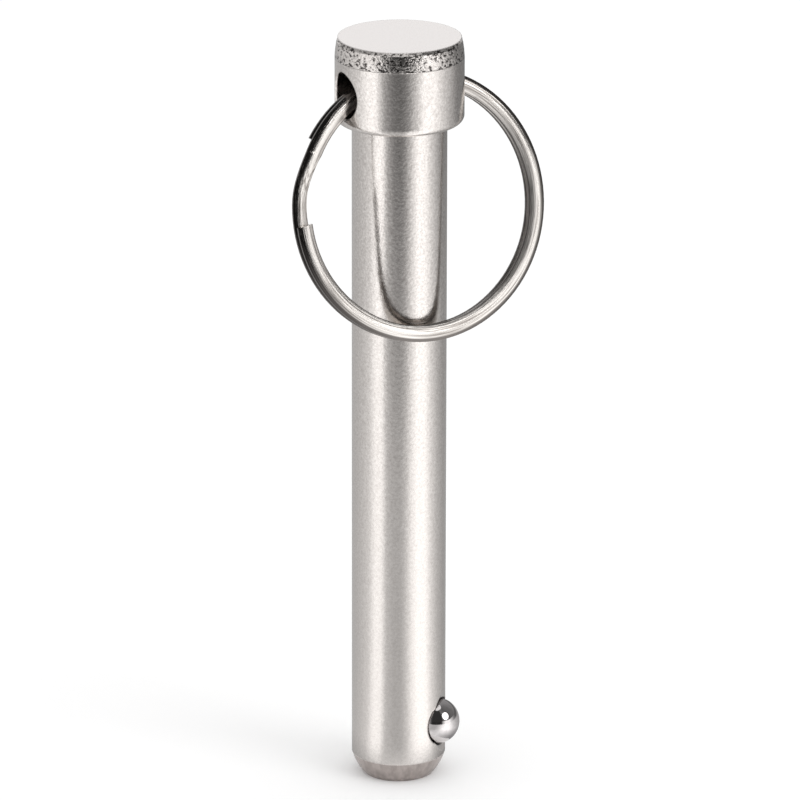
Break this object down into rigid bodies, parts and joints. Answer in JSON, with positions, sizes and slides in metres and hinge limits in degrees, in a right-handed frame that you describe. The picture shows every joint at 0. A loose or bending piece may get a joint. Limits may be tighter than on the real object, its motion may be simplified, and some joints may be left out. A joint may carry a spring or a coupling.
{
  "type": "detent ball quick-release pin",
  "caption": "Quick-release pin: cylindrical head with a split ring through it, plain shank, and a sprung detent ball by the chamfered tip.",
  "frame": {"origin": "centre of the flat face at the tip, which the pin stands on", "axes": "+Z from the tip to the head; the ring's hole through the head runs along X; the ring hangs on the -Y side"},
  "size_m": [0.023, 0.0109, 0.0653],
  "materials": {
    "pin_steel": "satin turned stainless steel",
    "ball_steel": "mirror polished bearing steel",
    "spring_steel": "drawn spring wire",
    "ring_steel": "bright nickel-plated wire"
  },
  "bodies": {
    "pin": {"pin_body": "pin_steel", "detent_spring": "spring_steel"},
    "ball": {"detent_ball": "ball_steel"},
    "ring": {"split_ring": "ring_steel"}
  },
  "joints": [
    {"name": "ring_swing", "type": "hinge", "parent": "pin", "child": "ring", "pos_m": [0, 0, 0.0608], "axis": [-1, 0, 0], "range_deg": [0, 333.2]},
    {"name": "ball_press", "type": "slide", "parent": "pin", "child": "ball", "axis": [0.7071, -0.7071, 0], "range_m": [-0.0014, 0], "stiffness_N_per_m": 4300, "deforming": ["detent_spring"]}
  ]
}
